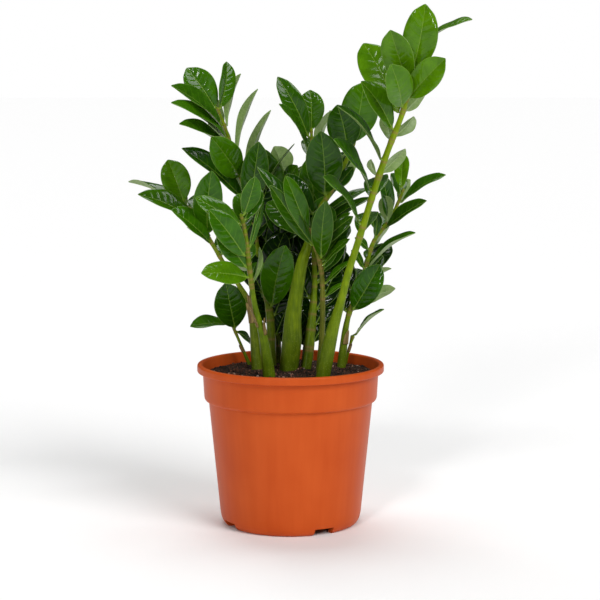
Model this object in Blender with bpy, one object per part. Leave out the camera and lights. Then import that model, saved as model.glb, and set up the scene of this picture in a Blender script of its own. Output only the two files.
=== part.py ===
"""Potted ZZ plant: a moulded nursery pot, its soil, eleven stems and their larger leaflets.

Every size below is in millimetres. The origin is on the pot's axis at the plane it stands on,
+Z is up, -Y is the front, and +X is the right-hand side seen from the front.
"""
import math

import bpy
import numpy as np

MM = 0.001
CLEARANCE = 0.3            # gap kept between touching pieces

# ---- the pot -------------------------------------------------------------------------------
POT_HEIGHT = 147.0
RIM_RADIUS = 85.0          # a 17 cm nursery pot
RIM_WIDTH = 4.7            # across the top of the rolled rim
RIM_DEPTH = 7.0            # height of the rolled rim's band
WALL = 2.0
COLLAR_TOP_RADIUS = 80.0
COLLAR_FOOT_RADIUS = 78.6
COLLAR_DROP = 31.0         # rim top to the collar's lower edge
BODY_TOP_RADIUS = 74.6     # just under the collar
BODY_FOOT_RADIUS = 64.6    # where the lower corner starts to round in
CORNER_HEIGHT = 12.0
FOOT_RADIUS = 57.0         # outer edge of the ring that the pot stands on
FOOT_RING_WIDTH = 3.0
FLOOR_UNDERSIDE = 4.0
FLOOR_TOP = 6.0
POT_SIDES = 48

# ---- the drainage notches in the foot --------------------------------------------------------
NOTCH_ANGLES = (29.0, 119.0, 209.0, 299.0)    # degrees from the front, towards +X
NOTCH_WIDTH = 19.0
NOTCH_HEIGHT = 6.5
NOTCH_INNER_RADIUS = 47.0

# ---- the soil --------------------------------------------------------------------------------
SOIL_EDGE_HEIGHT = 138.0
SOIL_MIDDLE_HEIGHT = 139.5
PLANTED_DEPTH = 24.0       # how far each stem goes down into the soil

# ---- stems and leaflets ------------------------------------------------------------------------
STEM_SIDES = 8
STEM_RINGS = 15
LEAF_THICKNESS = 1.4
LEAF_CUP = 0.22            # rise of the edges over the midrib, per half width
LEAF_ARCH = 0.06           # rise of the midrib's middle, per length
LEAF_STATIONS = (0.05, 0.15, 0.3, 0.5, 0.68, 0.84, 0.94)
LEAF_STALK_RADIUS = 1.2

# One letter for each way a leaflet's upper face can look; a row's letters are added together.
FACES = {
    "U": (0, 0, 1),
    "D": (0, 0, -1),
    "F": (0, -1, 0),
    "B": (0, 1, 0),
    "L": (-1, 0, 0),
    "R": (1, 0, 0),
}

# A stem is a route of (x, y, z, radius) from the soil up. A leaflet is the height at which it
# leaves its stem, the place of its tip, the way its upper face looks, and its width.
STEMS = {
    # the tall thick stem in front, leaning to the right
    "a": (
        (29, -34, 140, 6.2), (32, -34, 157, 6.5), (36, -35, 175, 5.8), (40, -37, 192, 4.8),
        (45, -38, 209, 3.8), (50, -40, 230, 3.3), (57, -43, 253, 3.0), (65, -48, 280, 2.9),
        (75, -52, 313, 2.8), (85, -57, 343, 2.6), (97, -61, 375, 2.3), (104, -62, 403, 1.9),
        (108, -59, 424, 1.5), (117, -61, 440, 1.2),
    ),
    # the swollen stem in the middle
    "b": (
        (-2, 12, 138, 8.4), (1, 10, 165, 9.0), (2, 10, 186, 7.8), (6, 9, 214, 6.0),
        (10, 8, 236, 5.3), (16, 8, 254, 4.3), (24, 9, 280, 2.9), (34, 11, 299, 2.5),
        (46, 14, 321, 2.2), (57, 17, 344, 1.7), (60, 18, 354, 1.2),
    ),
    # behind it, straight up
    "c": (
        (14, 22, 138, 4.8), (17, 25, 161, 5.0), (20, 29, 188, 3.6), (22, 35, 219, 2.5),
        (21, 41, 274, 2.2), (20, 44, 320, 1.8), (19, 45, 359, 1.2),
    ),
    # the tall one at the back left
    "d": (
        (-18, 40, 139, 4.6), (-19, 45, 181, 3.8), (-22, 48, 199, 3.2), (-29, 52, 236, 2.6),
        (-38, 56, 278, 2.2), (-46, 56, 312, 2.0), (-52, 55, 331, 1.8), (-60, 52, 357, 1.5),
        (-68, 48, 378, 1.1),
    ),
    # the one that arches far to the left
    "e": (
        (-31, 18, 139, 5.2), (-35, 22, 185, 3.5), (-40, 25, 203, 2.6), (-51, 32, 219, 2.1),
        (-64, 42, 237, 1.9), (-80, 56, 262, 1.7), (-93, 66, 282, 1.4), (-103, 72, 288, 1.1),
    ),
    # front left
    "f": (
        (-19, -25, 139, 5.6), (-24, -29, 173, 4.0), (-31, -34, 201, 2.5), (-35, -40, 228, 2.2),
        (-37, -45, 250, 2.0), (-40, -50, 273, 1.7), (-43, -55, 287, 1.2),
    ),
    # the thin brown one between the two thick ones
    "h": (
        (26, 3, 138, 3.1), (28, 3, 162, 2.8), (29, 1, 185, 2.5), (29, -3, 213, 2.2),
        (28, -5, 231, 2.0), (25, -8, 245, 1.8), (21, -11, 258, 1.5), (17, -14, 272, 1.1),
    ),
    # right
    "j": (
        (47, 33, 138, 4.3), (52, 34, 181, 2.6), (57, 35, 191, 2.3), (60, 36, 211, 2.1),
        (69, 38, 229, 1.9), (77, 40, 255, 1.7), (90, 42, 272, 1.5), (101, 42, 294, 1.3),
        (105, 43, 304, 1.0),
    ),
    # a short thin one at the right
    "k": ((51, 50, 137, 1.5), (53, 50, 147, 1.4), (59, 51, 168, 1.0)),
    # a short thin one at the left
    "l": ((-39, 48, 138, 1.7), (-44, 48, 150, 1.5), (-51, 50, 166, 1.3), (-56, 50, 178, 1.0)),
    # the dark one at the back
    "m": (
        (-13, 60, 138, 4.2), (-14, 66, 187, 3.4), (-13, 72, 244, 2.4), (-7, 76, 291, 1.8),
        (-1, 78, 319, 1.1),
    ),
}

LEAVES = {
    "a": (
        (439, (154, -84, 454), "FUU", 22),
        (407, (115, -75, 467), "FFU", 30),
        (400, (85, -80, 445), "FFUL", 28),
        (374, (64, -34, 435), "FFU", 34),
        (380, (85, -98, 416), "FFU", 26),
        (389, (131, -92, 421), "FFU", 26),
        (360, (61, -78, 402), "FFRU", 24),
        (334, (41, -97, 382), "FUUR", 24),
        (307, (37, -86, 353), "FRRUU", 30),
        (278, (29, -77, 321), "FRRUU", 30),
    ),
    "b": (
        (346, (66, 4, 401), "FFFU", 34),
        (338, (42, 2, 381), "FFFU", 30),
        (298, (27, -20, 358), "FFFU", 33),
    ),
    "c": (
        (351, (-12, 40, 406), "FFU", 20),
        (357, (18, 50, 394), "FFFU", 24),
        (334, (-10, 18, 382), "UUFR", 20),
        (338, (40, 62, 374), "BUL", 20),
    ),
    "d": (
        (377, (-96, 50, 414), "FFU", 27),
        (376, (-59, 60, 420), "FFRR", 20),
        (360, (-47, 78, 409), "LLB", 15),
        (334, (-32, 80, 395), "LLB", 15),
        (310, (-20, 90, 375), "LLB", 15),
        (362, (-108, 16, 398), "UUF", 21),
        (350, (-107, 4, 383), "UUF", 23),
        (336, (-100, 4, 364), "UUF", 21),
        (314, (-71, 4, 352), "FFFU", 28),
        (294, (-100, 36, 341), "UUF", 23),
        (193, (-5, 20, 253), "FFFU", 30),
    ),
    "e": (
        (287, (-115, 66, 329), "FFU", 27),
        (287, (-155, 94, 307), "UUU", 22),
        (274, (-142, 52, 298), "UUF", 22),
        (252, (-109, 28, 285), "UUF", 26),
    ),
    "f": (
        (231, (-77, -72, 237), "FFU", 22),
        (250, (-70, -68, 292), "FFU", 28),
        (286, (-30, -62, 320), "FFR", 18),
    ),
    "h": (
        (270, (-4, -30, 319), "FFU", 18),
        (256, (-30, -12, 326), "FUR", 20),
        (244, (31, -36, 297), "FFFU", 27),
    ),
    "j": (
        (292, (142, 28, 317), "FUU", 17),
        (268, (124, 18, 294), "FUU", 17),
        (232, (113, 6, 266), "FUU", 19),
        (303, (105, 56, 335), "FFL", 15),
        (276, (83, 18, 316), "FFRR", 20),
        (192, (82, 20, 235), "FFFU", 26),
    ),
    "k": ((167, (87, 44, 191), "UUL", 18),),
    "l": (
        (177, (-94, 42, 175), "UUF", 18),
        (172, (-60, 30, 217), "FFFU", 30),
    ),
}

# ---- finishes: colour (linear), roughness --------------------------------------------------------
FINISHES = {
    "pot_plastic": ((0.55, 0.09, 0.03, 1.0), 0.45),
    "potting_soil": ((0.03, 0.018, 0.012, 1.0), 0.95),
    "green_stem": ((0.16, 0.22, 0.02, 1.0), 0.45),
    "green_leaf": ((0.04, 0.16, 0.01, 1.0), 0.25),
}


def start_empty():
    """Remove whatever objects the scene starts with."""
    for thing in list(bpy.data.objects):
        bpy.data.objects.remove(thing, do_unlink=True)


def finish(name):
    """The named material, made the first time it is asked for."""
    material = bpy.data.materials.get(name)
    if material is None:
        colour, roughness = FINISHES[name]
        material = bpy.data.materials.new(name)
        material.use_nodes = True
        shader = material.node_tree.nodes["Principled BSDF"]
        shader.inputs["Base Color"].default_value = colour
        shader.inputs["Roughness"].default_value = roughness
        shader.inputs["Metallic"].default_value = 0.0
    return material


def add_solid(name, points, faces, finish_name=None):
    """One mesh object from points in millimetres; with no finish it is a hidden cutter."""
    mesh = bpy.data.meshes.new(name)
    mesh.from_pydata([tuple(float(v) * MM for v in p) for p in points], [], faces)
    mesh.validate()
    thing = bpy.data.objects.new(name, mesh)
    bpy.context.scene.collection.objects.link(thing)
    if finish_name:
        mesh.materials.append(finish(finish_name))
        mesh.shade_smooth()
        mesh.set_sharp_from_angle(angle=math.radians(35))
    else:
        thing.hide_render = True
        thing.display_type = "WIRE"
    return thing


def cut(thing, cutter):
    """Take the cutter's shape out of a solid."""
    change = thing.modifiers.new("cut_" + cutter.name, "BOOLEAN")
    change.operation = "DIFFERENCE"
    change.solver = "EXACT"
    change.object = cutter


def skin(rings, closed_ends):
    """Points and faces over a stack of equal rings, with a pole point at each end."""
    first_pole, last_pole = closed_ends
    sides = len(rings[0])
    points = [first_pole]
    for ring in rings:
        points.extend(ring)
    points.append(last_pole)
    last = len(points) - 1
    faces = []
    for j in range(sides):
        k = (j + 1) % sides
        faces.append((0, 1 + k, 1 + j))
        for i in range(len(rings) - 1):
            lower = 1 + i * sides
            upper = lower + sides
            faces.append((lower + j, lower + k, upper + k, upper + j))
        top = 1 + (len(rings) - 1) * sides
        faces.append((top + j, top + k, last))
    return points, faces


def turned(profile):
    """Points and faces of a profile of (radius, height), turned about Z, on the axis at its ends."""
    rings = []
    for radius, height in profile[1:-1]:
        turns = [2 * math.pi * j / POT_SIDES for j in range(POT_SIDES)]
        rings.append([(radius * math.cos(t), radius * math.sin(t), height) for t in turns])
    return skin(rings, ((0, 0, profile[0][1]), (0, 0, profile[-1][1])))


def corner(outer_radius, foot_radius, top, bottom, steps=3):
    """The rounded lower corner, from the foot up to the wall, as (radius, height)."""
    turns = [math.pi / 2 * i / steps for i in range(1, steps + 1)]
    return [
        (
            foot_radius + (outer_radius - foot_radius) * math.sin(t),
            bottom + (top - bottom) * (1 - math.cos(t)),
        )
        for t in turns
    ]


def inner_profile(gap):
    """The pot's inside from the floor's middle up to the collar, moved inwards by a gap."""
    collar_foot = POT_HEIGHT - COLLAR_DROP
    rows = [(0.0, FLOOR_TOP), (FOOT_RADIUS - WALL, FLOOR_TOP)]
    rows += corner(BODY_FOOT_RADIUS - WALL, FOOT_RADIUS - WALL, CORNER_HEIGHT + WALL, FLOOR_TOP)
    rows += [
        (BODY_TOP_RADIUS - WALL, collar_foot - 2.6),
        (COLLAR_FOOT_RADIUS - WALL, collar_foot + 2.0),
    ]
    return [(max(radius - gap, 0.0), height + gap) for radius, height in rows]


def wall_radius_inside(height):
    """Inner radius of the collar at a height."""
    foot = POT_HEIGHT - COLLAR_DROP
    share = (height - foot) / COLLAR_DROP
    return COLLAR_FOOT_RADIUS + (COLLAR_TOP_RADIUS - COLLAR_FOOT_RADIUS) * share - WALL


def make_pot():
    """The moulded pot: foot ring, tapered body, collar, rolled rim and four drainage notches."""
    collar_foot = POT_HEIGHT - COLLAR_DROP
    rim_foot = POT_HEIGHT - RIM_DEPTH
    rim_inner = RIM_RADIUS - RIM_WIDTH
    foot_inner = FOOT_RADIUS - FOOT_RING_WIDTH
    outside = [(0.0, FLOOR_UNDERSIDE), (foot_inner - 0.6, FLOOR_UNDERSIDE), (foot_inner, 0.0)]
    outside += [(FOOT_RADIUS, 0.0)]
    outside += corner(BODY_FOOT_RADIUS, FOOT_RADIUS, CORNER_HEIGHT, 0.0, steps=4)
    outside += [
        (BODY_TOP_RADIUS, collar_foot - 2.6),
        (BODY_TOP_RADIUS + 2.4, collar_foot - 1.4),
        (COLLAR_FOOT_RADIUS, collar_foot + 1.6),
        (COLLAR_TOP_RADIUS, rim_foot - 0.4),
        (RIM_RADIUS - 1.0, rim_foot),
        (RIM_RADIUS, rim_foot + 1.2),
        (RIM_RADIUS, POT_HEIGHT - 1.6),
        (RIM_RADIUS - 0.8, POT_HEIGHT - 0.3),
        (RIM_RADIUS - 2.0, POT_HEIGHT),
        (rim_inner + 1.4, POT_HEIGHT - 0.2),
        (rim_inner, POT_HEIGHT - 1.6),
        (wall_radius_inside(rim_foot), rim_foot),
    ]
    pot = add_solid("pot", *turned(outside + inner_profile(0.0)[::-1]), "pot_plastic")

    points = []
    faces = []
    for angle in NOTCH_ANGLES:
        turn = math.radians(angle)
        outward = np.array((math.sin(turn), -math.cos(turn), 0.0))
        across = np.array((math.cos(turn), math.sin(turn), 0.0))
        first = len(points)
        for height in (-5.0, NOTCH_HEIGHT):
            for reach, side in ((0, -1), (1, -1), (1, 1), (0, 1)):
                distance = (NOTCH_INNER_RADIUS, RIM_RADIUS)[reach]
                spot = outward * distance + across * side * NOTCH_WIDTH / 2
                points.append((spot[0], spot[1], height))
        box = ((3, 2, 1, 0), (4, 5, 6, 7), (0, 1, 5, 4), (1, 2, 6, 5), (2, 3, 7, 6), (3, 0, 4, 7))
        faces.extend(tuple(first + i for i in face) for face in box)
    cut(pot, add_solid("notch_cutter", points, faces))


def stem_curve(route):
    """A smooth curve through a stem's route: evenly spaced rows of x, y, z, radius.

    The route is first carried down into the soil along its own direction.
    """
    rows = np.array(route, float)
    down = rows[0, :3] - rows[1, :3]
    down *= PLANTED_DEPTH / abs(down[2])
    buried = np.append(rows[0, :3] + down, rows[0, 3] * 0.85)
    rows = np.vstack((buried, rows))
    padded = np.vstack((2 * rows[0] - rows[1], rows, 2 * rows[-1] - rows[-2]))
    fine = []
    for p0, p1, p2, p3 in zip(padded, padded[1:], padded[2:], padded[3:]):
        for t in np.linspace(0, 1, 12, endpoint=False):
            fine.append(
                0.5 * (2 * p1 + (p2 - p0) * t + (2 * p0 - 5 * p1 + 4 * p2 - p3) * t**2
                       + (3 * p1 - p0 - 3 * p2 + p3) * t**3)
            )
    fine.append(rows[-1])
    fine = np.array(fine)
    run = np.append(0, np.cumsum(np.linalg.norm(np.diff(fine[:, :3], axis=0), axis=1)))
    marks = np.linspace(0, run[-1], STEM_RINGS)
    return np.column_stack([np.interp(marks, run, fine[:, i]) for i in range(4)])


def unit(vector):
    return vector / np.linalg.norm(vector)


def tube(rows, extra=0.0):
    """Points and faces of a tapering tube along rows of x, y, z, radius."""
    centres = rows[:, :3]
    along = np.gradient(centres, axis=0)
    rings = []
    for centre, direction, radius in zip(centres, along, rows[:, 3]):
        direction = unit(direction)
        side = unit(np.cross((0.0, 1.0, 0.0), direction))
        other = np.cross(direction, side)
        turns = [2 * math.pi * j / STEM_SIDES for j in range(STEM_SIDES)]
        rings.append(
            [centre + (radius + extra) * (math.cos(t) * side + math.sin(t) * other) for t in turns]
        )
    ends = (
        centres[0] - unit(along[0]) * (0.5 + extra),
        centres[-1] + unit(along[-1]) * (rows[-1, 3] + extra),
    )
    return skin(rings, ends)


def leaf_width(t):
    """Width of a leaflet at a share of its length, as a share of its greatest width."""
    return math.sin(math.pi * t**0.95) ** 0.75


def leaf_solid(start, tip, face, width):
    """Points and faces of one leaflet: a folded, arched blade, pointed at both ends."""
    length = np.linalg.norm(tip - start)
    along = (tip - start) / length
    up = unit(face - along * np.dot(face, along))
    across = np.cross(along, up)
    rings = []
    for t in LEAF_STATIONS:
        middle = start + along * length * t + up * LEAF_ARCH * length * math.sin(math.pi * t)
        half = max(width / 2 * leaf_width(t), LEAF_STALK_RADIUS)
        rise = LEAF_CUP * half if half > LEAF_STALK_RADIUS else 0.0
        thick = LEAF_THICKNESS / 2
        rings.append((
            middle - across * half + up * rise,
            middle + up * thick,
            middle + across * half + up * rise,
            middle - up * thick,
        ))
    return skin(rings, (start, tip))


def make_plant():
    """Every stem with its leaflets; returns the stems' curves for the soil's holes."""
    curves = {}
    for letter, route in STEMS.items():
        rows = stem_curve(route)
        curves[letter] = rows
        add_solid("stem_" + letter, *tube(rows), "green_stem")
        for number, (height, tip, facing, width) in enumerate(LEAVES.get(letter, ()), 1):
            on_stem = np.array([np.interp(height, rows[:, 2], rows[:, i]) for i in range(4)])
            ahead = np.array([np.interp(height + 2, rows[:, 2], rows[:, i]) for i in range(3)])
            behind = np.array([np.interp(height - 2, rows[:, 2], rows[:, i]) for i in range(3)])
            tangent = unit(ahead - behind)
            tip = np.array(tip, float)
            outward = tip - on_stem[:3]
            outward = unit(outward - tangent * np.dot(outward, tangent))
            start = on_stem[:3] + outward * (on_stem[3] + LEAF_STALK_RADIUS + CLEARANCE)
            face = np.sum([FACES[word] for word in facing], axis=0).astype(float)
            solid = leaf_solid(start, tip, face, width)
            add_solid(f"leaf_{letter}_{number}", *solid, "green_leaf")
    return curves


def make_soil(curves):
    """The soil that fills the pot, with a socket round each stem."""
    profile = inner_profile(CLEARANCE)
    profile.append((wall_radius_inside(SOIL_EDGE_HEIGHT) - CLEARANCE, SOIL_EDGE_HEIGHT))
    profile += [(40.0, SOIL_MIDDLE_HEIGHT), (0.0, SOIL_MIDDLE_HEIGHT)]
    soil = add_solid("soil", *turned(profile), "potting_soil")
    points = []
    faces = []
    for rows in curves.values():
        clear_of_soil = int(np.argmax(rows[:, 2] > SOIL_MIDDLE_HEIGHT + 4.0))
        ring_points, ring_faces = tube(rows[:clear_of_soil + 2], extra=CLEARANCE)
        first = len(points)
        points.extend(ring_points)
        faces.extend(tuple(first + i for i in face) for face in ring_faces)
    cut(soil, add_solid("socket_cutter", points, faces))


start_empty()
make_pot()
make_soil(make_plant())
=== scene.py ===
"""Potted ZZ plant: the finish of its leaves, stalks, pot and soil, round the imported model.

Named sizes are in millimetres. The model is in metres, so MM turns one into the other.
"""
import math

import bmesh
import bpy
import numpy as np
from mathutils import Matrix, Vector, noise


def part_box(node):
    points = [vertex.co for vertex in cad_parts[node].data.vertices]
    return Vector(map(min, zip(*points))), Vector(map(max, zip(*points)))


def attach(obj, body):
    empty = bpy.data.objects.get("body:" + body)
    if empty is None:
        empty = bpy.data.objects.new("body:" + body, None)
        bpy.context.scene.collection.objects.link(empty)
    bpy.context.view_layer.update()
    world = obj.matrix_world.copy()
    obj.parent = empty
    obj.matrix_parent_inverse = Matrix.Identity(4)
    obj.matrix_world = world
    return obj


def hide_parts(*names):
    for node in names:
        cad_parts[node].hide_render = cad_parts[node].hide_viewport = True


bpy.ops.wm.read_factory_settings(use_empty=True)
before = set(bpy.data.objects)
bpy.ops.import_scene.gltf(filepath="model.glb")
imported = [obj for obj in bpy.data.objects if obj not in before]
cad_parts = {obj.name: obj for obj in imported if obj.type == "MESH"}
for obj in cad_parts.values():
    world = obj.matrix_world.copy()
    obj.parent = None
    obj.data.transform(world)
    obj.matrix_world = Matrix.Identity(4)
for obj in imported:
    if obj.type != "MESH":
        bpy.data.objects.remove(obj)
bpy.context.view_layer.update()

MM = 0.001
UP = np.array((0.0, 0.0, 1.0))
STEMS = "abcdefhjklm"


# ---- shapes: shared helpers --------------------------------------------------------------------
def unit(vector):
    return vector / np.linalg.norm(vector)


def ease(low, high, x):
    """0 below low, 1 above high and a smooth step between them."""
    share = np.clip((np.asarray(x, float) - low) / (high - low), 0.0, 1.0)
    return share * share * (3 - 2 * share)


def smooth_curve(rows, steps):
    """A Catmull-Rom curve through rows of numbers, with this many steps from row to row."""
    rows = np.asarray(rows, float)
    padded = np.vstack((2 * rows[0] - rows[1], rows, 2 * rows[-1] - rows[-2]))
    fine = []
    for p0, p1, p2, p3 in zip(padded, padded[1:], padded[2:], padded[3:]):
        for t in np.linspace(0, 1, steps, endpoint=False):
            fine.append(0.5 * (
                2 * p1 + (p2 - p0) * t + (2 * p0 - 5 * p1 + 4 * p2 - p3) * t**2
                + (3 * p1 - p0 - 3 * p2 + p3) * t**3
            ))
    fine.append(rows[-1])
    return np.array(fine)


def skin(rings, first_pole=None, last_pole=None):
    """Points and faces over a stack of equal closed rings, with a pole at either end."""
    rings = np.asarray(rings, float)
    count, sides = rings.shape[:2]
    points = list(rings.reshape(-1, 3))
    faces = []
    for low in range(0, (count - 1) * sides, sides):
        for j in range(sides):
            k = (j + 1) % sides
            faces.append((low + j, low + k, low + sides + k, low + sides + j))
    top = (count - 1) * sides
    if first_pole is not None:
        points.append(first_pole)
        faces.extend((len(points) - 1, (j + 1) % sides, j) for j in range(sides))
    if last_pole is not None:
        points.append(last_pole)
        faces.extend((len(points) - 1, top + j, top + (j + 1) % sides) for j in range(sides))
    return np.array(points), faces


def add_mesh(name, points, faces, material, sharp_angle=None, **painted):
    """A mesh object with one material and, by name, one stored vector for each point."""
    mesh = bpy.data.meshes.new(name)
    mesh.from_pydata(np.asarray(points, float).tolist(), [], faces)
    mesh.materials.append(material)
    mesh.shade_smooth()
    if sharp_angle:
        mesh.set_sharp_from_angle(angle=math.radians(sharp_angle))
    for layer_name, values in painted.items():
        layer = mesh.attributes.new(layer_name, "FLOAT_VECTOR", "POINT")
        layer.data.foreach_set("vector", np.asarray(values, np.float32).ravel())
    piece = bpy.data.objects.new(name, mesh)
    bpy.context.scene.collection.objects.link(piece)
    return piece


def add_joined(name, parts, material):
    """One mesh object out of several (points, faces, painted) parts."""
    points = np.vstack([part[0] for part in parts])
    starts = np.cumsum([0] + [len(part[0]) for part in parts])
    faces = [tuple(i + start for i in face) for part, start in zip(parts, starts)
             for face in part[1]]
    painted = {key: np.vstack([part[2][key] for part in parts]) for key in parts[0][2]}
    return add_mesh(name, points, faces, material, **painted)


def belongs(piece, slot, *nodes):
    """The piece rides on the plant's one body and stands in for these CAD nodes, which it hides;
    slot is not used.
    """
    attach(piece, "root")
    if nodes:
        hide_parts(*nodes)


# ---- materials ---------------------------------------------------------------------------------
def linear_colour(text):
    """An sRGB hex colour as linear RGBA."""
    parts = [int(text[i:i + 2], 16) / 255 for i in (0, 2, 4)]
    return (*[p / 12.92 if p <= 0.04045 else ((p + 0.055) / 1.055) ** 2.4 for p in parts], 1.0)


def per_mm(size):
    """The scale of a pattern whose repeat is this many millimetres, on metre coordinates."""
    return 1 / (size * MM)


def add(tree, kind, *inputs, stops=(), **named):
    """Add a node: inputs fill the sockets in use, in order.

    A name with a capital is a socket (Base_Color), one without is a setting. A value can be
    a node, an output, a number or a hex colour; stops are a ramp's (place, value) pairs.
    """
    made = tree.nodes.new("ShaderNode" + kind)
    for key, value in named.items():
        if not key[0].isupper():
            setattr(made, key, value)
    for i, (place, value) in enumerate(stops):
        elements = made.color_ramp.elements
        stop = elements[i] if i < len(elements) else elements.new(place)
        stop.position = place
        stop.color = linear_colour(value) if isinstance(value, str) else (value,) * 3 + (1,)
    live = [socket for socket in made.inputs if socket.enabled]
    links = list(zip(live, inputs))
    links += [(next(s for s in live if s.name == key.replace("_", " ")), value)
              for key, value in named.items() if key[0].isupper()]
    for socket, value in links:
        if isinstance(value, bpy.types.Node):
            value = next(s for s in value.outputs if s.enabled)
        if isinstance(value, bpy.types.NodeSocket):
            tree.links.new(value, socket)
        elif value is not None:
            socket.default_value = linear_colour(value) if isinstance(value, str) else value
    return made


def new_material(name):
    """A material with an empty tree, and its output node."""
    material = bpy.data.materials.new(name)
    material.use_nodes = True
    material.node_tree.nodes.clear()
    return material, material.node_tree, material.node_tree.nodes.new("ShaderNodeOutputMaterial")


LATERAL_VEINS = 8.0        # side veins along each half of a leaflet
VEIN_SWEEP = 0.17          # how far a side vein runs towards the tip, as a share of the length
VEIN_CURVE = 1.35


def leaf_cuticle():
    """Succulent leaf under a thick wax cuticle.

    The upper face is deep green with a hard gloss that the sunk side veins break up. The
    underside is pale grey-green and only satin, and thin parts let warm light through.
    """
    material, tree, output = new_material("waxy_leaf_cuticle")
    blade = add(tree, "SeparateXYZ", add(tree, "Attribute", attribute_name="blade").outputs[1])
    across, along, side = blade.outputs
    traits = add(tree, "SeparateXYZ", add(tree, "Attribute", attribute_name="traits").outputs[1])
    tone, youth, half_width = traits.outputs
    place = add(tree, "TexCoord").outputs["Object"]
    clouds = add(tree, "TexNoise", place, per_mm(11), 3.0).outputs[0]
    flecks = add(tree, "TexNoise", place, per_mm(2.0), 3.0).outputs[0]

    # Side veins: a line wherever the count of veins passes a whole number.
    distance = add(tree, "Math", across, operation="ABSOLUTE")
    swept = add(tree, "Math", distance, VEIN_CURVE, operation="POWER")
    swept = add(tree, "Math", swept, -VEIN_SWEEP, along, operation="MULTIPLY_ADD")
    other_half = add(tree, "Math", across, 0.0, operation="LESS_THAN")
    turns = add(tree, "Math", other_half, 0.5, add(
        tree, "Math", swept, LATERAL_VEINS, operation="MULTIPLY"), operation="MULTIPLY_ADD")
    turns = add(tree, "Math", clouds, 0.3, turns, operation="MULTIPLY_ADD")
    turns = add(tree, "Math", turns, 0.15, operation="SUBTRACT")
    beside = add(tree, "Math", turns, 0.5, operation="PINGPONG")
    vein = add(tree, "Math", beside, -8.0, 1.0, operation="MULTIPLY_ADD", use_clamp=True)
    fading = add(tree, "Math", distance, -1.0, 1.0, operation="MULTIPLY_ADD", use_clamp=True)
    vein = add(tree, "Math", vein, fading, operation="MULTIPLY")

    # Midrib about 1.7 mm wide at the base, and a pale margin about 0.7 mm wide that is partly the
    # leaf's own paler edge and partly a painted highlight along the rim.
    from_midrib = add(tree, "Math", distance, half_width, operation="MULTIPLY")
    midrib_reach = add(tree, "Math", along, -0.62, 0.86, operation="MULTIPLY_ADD")
    midrib = add(tree, "Math", from_midrib, midrib_reach, operation="DIVIDE")
    midrib = add(tree, "Math", 1.0, midrib, operation="SUBTRACT", use_clamp=True)
    to_margin = add(tree, "Math", fading, half_width, operation="MULTIPLY")
    margin_and_highlight = add(tree, "Math", to_margin, -1.4, 1.0, operation="MULTIPLY_ADD", use_clamp=True)
    stalk = add(tree, "Math", along, -12.0, 1.0, operation="MULTIPLY_ADD", use_clamp=True)

    # A tone below zero, given only to the low inner leaflets, is painted shade and lands on the
    # darkest stops.
    depth = add(tree, "Math", clouds, 0.5, add(tree, "Math", tone, 0.5, operation="MULTIPLY"),
                operation="MULTIPLY_ADD")
    grown = add(tree, "ValToRGB", depth, stops=((0.05, "0A2402"), (0.25, "143702"),
                                                (0.5, "224F02"), (0.8, "3B7104")))
    young = add(tree, "ValToRGB", clouds, stops=((0.3, "4C7C02"), (0.7, "639606")))
    upper = add(tree, "Mix", youth, grown, young, data_type="RGBA")
    vein_tint = add(tree, "Math", vein, 0.42, operation="MULTIPLY")
    upper = add(tree, "Mix", vein_tint, upper, "5E8C1C", data_type="RGBA")
    midrib_tint = add(tree, "Math", midrib, 0.75, operation="MULTIPLY")
    upper = add(tree, "Mix", midrib_tint, upper, "86A83C", data_type="RGBA")
    # The pale margin is partly the leaf's own edge colour and partly a painted highlight along the
    # rim.
    margin_highlight_tint = add(tree, "Math", margin_and_highlight, 0.7, operation="MULTIPLY")
    upper = add(tree, "Mix", margin_highlight_tint, upper, "86A848", data_type="RGBA")
    upper = add(tree, "Mix", stalk, upper, "809E30", data_type="RGBA")
    mottle = add(tree, "Math", flecks, clouds, operation="ADD")
    mottle = add(tree, "Math", mottle, 0.5, operation="MULTIPLY")
    lower = add(tree, "ValToRGB", mottle, stops=((0.35, "72904A"), (0.65, "93AC68")))
    lower = add(tree, "Mix", vein_tint, lower, "6E8450", data_type="RGBA")
    lower = add(tree, "Mix", midrib_tint, lower, "B0C48C", data_type="RGBA")
    colour = add(tree, "Mix", side, lower, upper, data_type="RGBA")

    # Relief of 0.2 mm: sunk veins, and a fine net of veinlets 2 mm across.
    net = add(tree, "TexVoronoi", place, per_mm(2.0), feature="DISTANCE_TO_EDGE").outputs[0]
    net = add(tree, "Math", net, 0.3, operation="MINIMUM")
    relief = add(tree, "Math", net, 0.12, add(
        tree, "Math", vein, -0.9, operation="MULTIPLY"), operation="MULTIPLY_ADD")
    relief = add(tree, "Math", flecks, 0.22, relief, operation="MULTIPLY_ADD")
    normal = add(tree, "Bump", Strength=1.0, Distance=0.2 * MM, Height=relief)

    gloss = add(tree, "Math", flecks, 0.08, 0.08, operation="MULTIPLY_ADD")
    roughness = add(tree, "Math", side, -0.25, 0.25, operation="MULTIPLY_ADD")
    roughness = add(tree, "Math", roughness, gloss, operation="ADD")
    wax = add(tree, "BsdfPrincipled", Base_Color=colour, Roughness=roughness, IOR=1.46,
              Specular_IOR_Level=0.3, Normal=normal)
    through = add(tree, "Mix", 0.6, colour, "84B81C", data_type="RGBA")
    glow = add(tree, "BsdfTranslucent", Color=through, Normal=normal)
    tree.links.new(add(tree, "MixShader", 0.14, wax, glow).outputs[0], output.inputs[0])
    return material


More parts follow.
